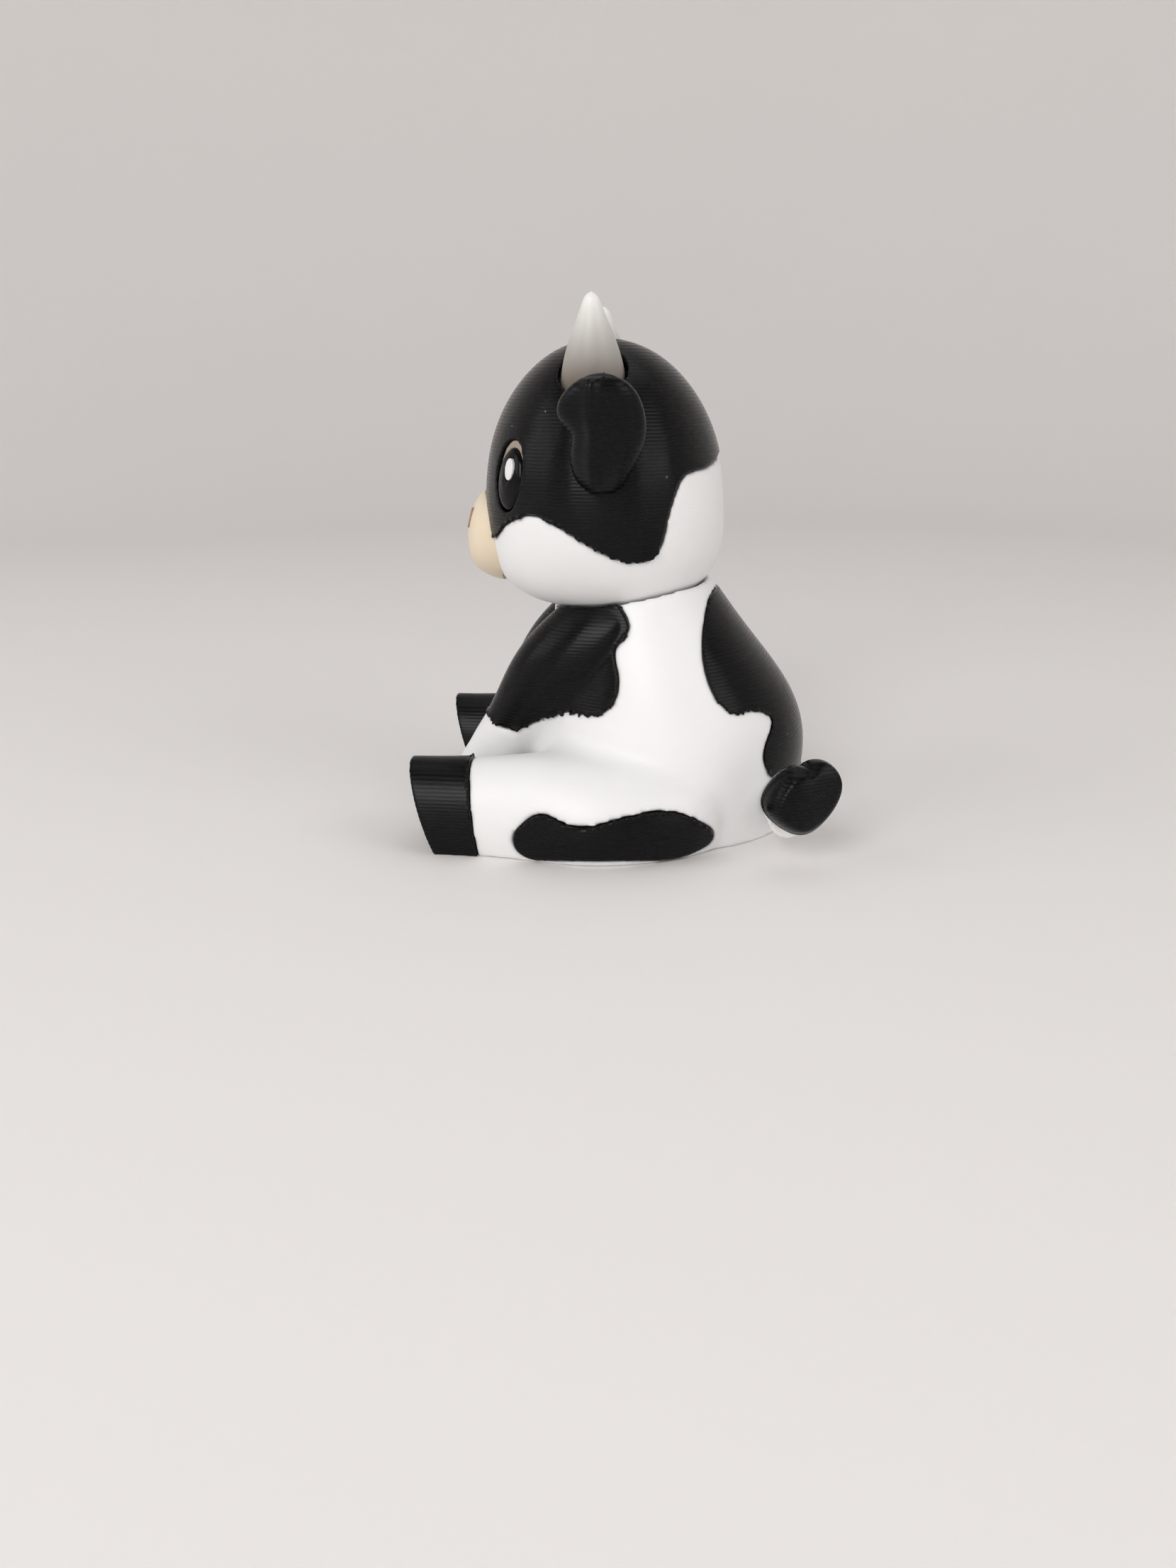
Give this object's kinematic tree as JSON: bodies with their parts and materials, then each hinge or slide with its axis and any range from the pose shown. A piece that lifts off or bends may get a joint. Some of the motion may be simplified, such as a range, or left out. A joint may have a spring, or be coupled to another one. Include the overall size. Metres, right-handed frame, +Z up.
{
  "type": "seated cow figurine",
  "caption": "Printed toy cow that sits with its legs splayed: a big egg-shaped head turns on the neck, with a black cap, horns, cupped ears, inlaid eyes and black coat patches.",
  "frame": {"origin": "on the floor under the axis that the head turns about", "axes": "+Z up, the cow faces -Y, its left side is +X"},
  "size_m": [0.0584, 0.0598, 0.074],
  "materials": {
    "white_pla": "satin white",
    "black_pla": "satin black",
    "natural_pla": "translucent natural",
    "peach_pla": "satin peach",
    "brown_pla": "satin brown",
    "eye_white_pla": "satin white",
    "pupil_gloss": "gloss black",
    "glint_white": "gloss white"
  },
  "bodies": {
    "body": {"torso": "white_pla", "tail": "white_pla", "back_patch": "black_pla", "tail_tuft": "black_pla", "shoulder_patch_left": "black_pla", "shoulder_patch_right": "black_pla", "thigh_patch_left": "black_pla", "thigh_patch_right": "black_pla", "hind_hoof_left": "black_pla", "hind_hoof_right": "black_pla", "front_hoof_left": "black_pla", "front_hoof_right": "black_pla"},
    "head": {"head": "white_pla", "head_cap": "black_pla", "muzzle": "peach_pla", "nostril_left": "brown_pla", "nostril_right": "brown_pla", "eye_white_left": "eye_white_pla", "eye_white_right": "eye_white_pla", "pupil_left": "pupil_gloss", "pupil_right": "pupil_gloss", "eye_glint_left": "glint_white", "eye_glint_right": "glint_white", "horn_left": "natural_pla", "horn_right": "natural_pla", "ear_left": "black_pla", "ear_right": "black_pla"}
  },
  "joints": [
    {"name": "head_swivel", "type": "hinge", "parent": "body", "child": "head", "pos_m": [0, 0, 0.0312], "axis": [0, 0, 1], "range_deg": [-120, 120]}
  ]
}
